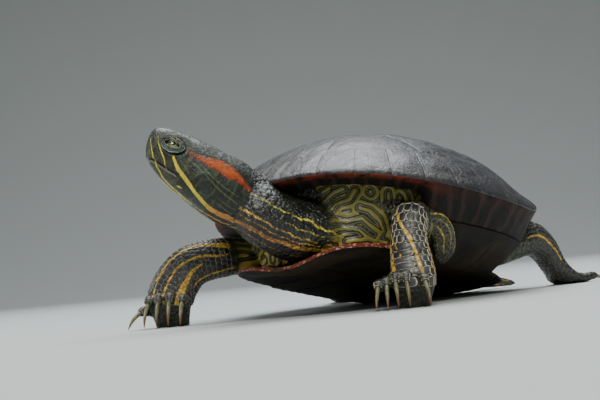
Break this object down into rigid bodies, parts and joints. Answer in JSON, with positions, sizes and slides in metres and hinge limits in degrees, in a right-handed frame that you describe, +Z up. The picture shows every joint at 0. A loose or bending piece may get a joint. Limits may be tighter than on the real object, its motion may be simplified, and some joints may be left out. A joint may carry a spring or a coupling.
{
  "type": "red-eared slider turtle, still life-size model",
  "caption": "Life-size red-eared slider standing on the floor with its neck stretched up and its left hind leg pushed back.",
  "frame": {"origin": "bottom centre of the whole model's box, on the floor", "axes": "+Z up from the floor, -Y towards the head, +X towards the animal's left"},
  "size_m": [0.1778, 0.2786, 0.0983],
  "materials": {
    "scutes": "wet, dark horn, wrinkled, satin",
    "plastron": "horn, satin, worn",
    "shoulder_skin": "soft skin with dark winding lines",
    "skin": "granular and scaly skin with yellow stripes",
    "beak": "horn, satin",
    "eye": "wet and glossy",
    "claw": "horn, satin"
  },
  "bodies": {
    "root": {"carapace": "scutes", "plastron": "plastron", "trunk": "shoulder_skin", "head": "skin", "lower_jaw": "beak", "eye_left": "eye", "eye_right": "eye", "neck": "skin", "upper_arm_left": "skin", "forearm_left": "skin", "hand_left": "skin", "claw_fore_left_1": "claw", "claw_fore_left_2": "claw", "claw_fore_left_3": "claw", "claw_fore_left_4": "claw", "claw_fore_left_5": "claw", "upper_arm_right": "skin", "forearm_right": "skin", "hand_right": "skin", "claw_fore_right_1": "claw", "claw_fore_right_2": "claw", "claw_fore_right_3": "claw", "claw_fore_right_4": "claw", "claw_fore_right_5": "claw", "thigh_left": "skin", "shank_left": "skin", "foot_left": "skin", "claw_hind_left_1": "claw", "claw_hind_left_2": "claw", "claw_hind_left_3": "claw", "claw_hind_left_4": "claw", "thigh_right": "skin", "shank_right": "skin", "foot_right": "skin", "claw_hind_right_1": "claw", "claw_hind_right_2": "claw", "claw_hind_right_3": "claw", "claw_hind_right_4": "claw", "tail": "skin"}
  },
  "joints": []
}
